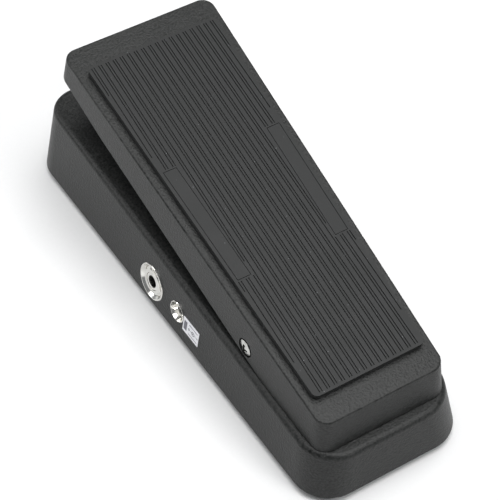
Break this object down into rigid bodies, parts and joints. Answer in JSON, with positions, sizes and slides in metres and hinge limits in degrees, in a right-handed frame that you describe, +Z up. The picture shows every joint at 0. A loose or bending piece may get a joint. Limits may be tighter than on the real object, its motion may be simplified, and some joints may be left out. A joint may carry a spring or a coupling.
{
  "type": "guitar effects pedal",
  "caption": "Foot-rocked effects pedal: tapered cast housing, pivoting ribbed treadle driving a rack and potentiometer, toe foot switch, side jacks.",
  "frame": {"origin": "under the middle of the pedal, at the underside of the rubber feet", "axes": "+Y towards the toe end, +X to the player's right, +Z up"},
  "size_m": [0.1004, 0.254, 0.0891],
  "materials": {
    "battery_case": "plain battery jacket",
    "black_plastic": "moulded phenolic",
    "board_green": "green solder mask",
    "brass": "tinned brass",
    "bright_screw": "bright zinc plate",
    "capacitor_film": "dipped film",
    "cast_paint": "fine-textured charcoal powder coat, semi-matt",
    "coil_red": "potted coil",
    "felt": "pressed felt",
    "foam": "grey foam",
    "label_film": "white printed film",
    "nickel": "nickel plate",
    "nylon": "natural nylon",
    "plate_paint": "black painted steel, matt",
    "resistor_body": "lacquered resistor",
    "soft_rubber": "soft black rubber",
    "steel": "plain steel",
    "switch_blue": "blue moulded switch case",
    "tread_rubber": "moulded ribbed rubber, dull",
    "wire_red": "insulated wire",
    "wire_white": "insulated wire"
  },
  "bodies": {
    "base": {"battery": "battery_case", "battery_foam": "foam", "battery_leads": "wire_red", "battery_snap": "black_plastic", "battery_terminals": "brass", "board_screws": "bright_screw", "bottom_plate": "plate_paint", "bracket_screws": "bright_screw", "capacitors": "capacitor_film", "circuit_board": "board_green", "foot_screws": "bright_screw", "housing": "cast_paint", "inductor": "coil_red", "input_jack_body": "black_plastic", "input_jack_bushing": "nickel", "input_jack_contacts": "brass", "input_jack_nut": "nickel", "input_jack_washer": "nickel", "output_jack_body": "black_plastic", "output_jack_bushing": "nickel", "output_jack_contacts": "brass", "output_jack_nut": "nickel", "output_jack_washer": "nickel", "pivot_bushes": "nylon", "pot_bracket": "steel", "pot_bushing": "nickel", "pot_can": "steel", "pot_lugs": "brass", "pot_nut": "nickel", "power_barrel": "nickel", "power_body": "black_plastic", "power_nut": "nickel", "power_pin": "nickel", "rack_guide": "nylon", "resistors": "resistor_body", "rubber_feet": "soft_rubber", "spec_label": "label_film", "switch_body": "switch_blue", "switch_bushing": "nickel", "switch_lugs": "brass", "switch_nut": "nickel", "switch_washer": "nickel", "switch_wires": "wire_white", "toe_bumpers": "soft_rubber", "transistors": "black_plastic"},
    "treadle": {"treadle": "cast_paint", "tread_pad": "tread_rubber", "pivot_shaft": "steel", "pivot_screws": "bright_screw", "rack_bracket": "steel", "rack_screws": "bright_screw", "rack_pin": "steel", "heel_bumpers": "soft_rubber", "striker_felt": "felt"},
    "rack": {"rack_gear": "nylon"},
    "pot_rotor": {"pinion": "nylon", "pot_shaft": "steel"},
    "plunger": {"switch_plunger": "nickel"}
  },
  "joints": [
    {"name": "rock", "type": "hinge", "parent": "base", "child": "treadle", "pos_m": [0, -0.0594, 0.0404], "axis": [1, 0, 0], "range_deg": [-10, 0]},
    {"name": "rack_pin", "type": "hinge", "parent": "treadle", "child": "rack", "pos_m": [0, 0.0193, 0.04729], "axis": [1, 0, 0], "range_deg": [0, 10.5]},
    {"name": "pot_spin", "type": "hinge", "parent": "base", "child": "pot_rotor", "pos_m": [0, 0.0126, 0.0225], "axis": [1, 0, 0], "range_deg": [-165, 0]},
    {"name": "switch_press", "type": "slide", "parent": "base", "child": "plunger", "axis": [0, 0, 1], "range_m": [-0.0025, 0], "stiffness_N_per_m": 4000, "springref_m": 0.002}
  ],
  "couplings": [
    {"joint": "rack_pin", "follows": "rock", "ratio": -1},
    {"joint": "pot_spin", "follows": "rock", "ratio": 16.102}
  ]
}
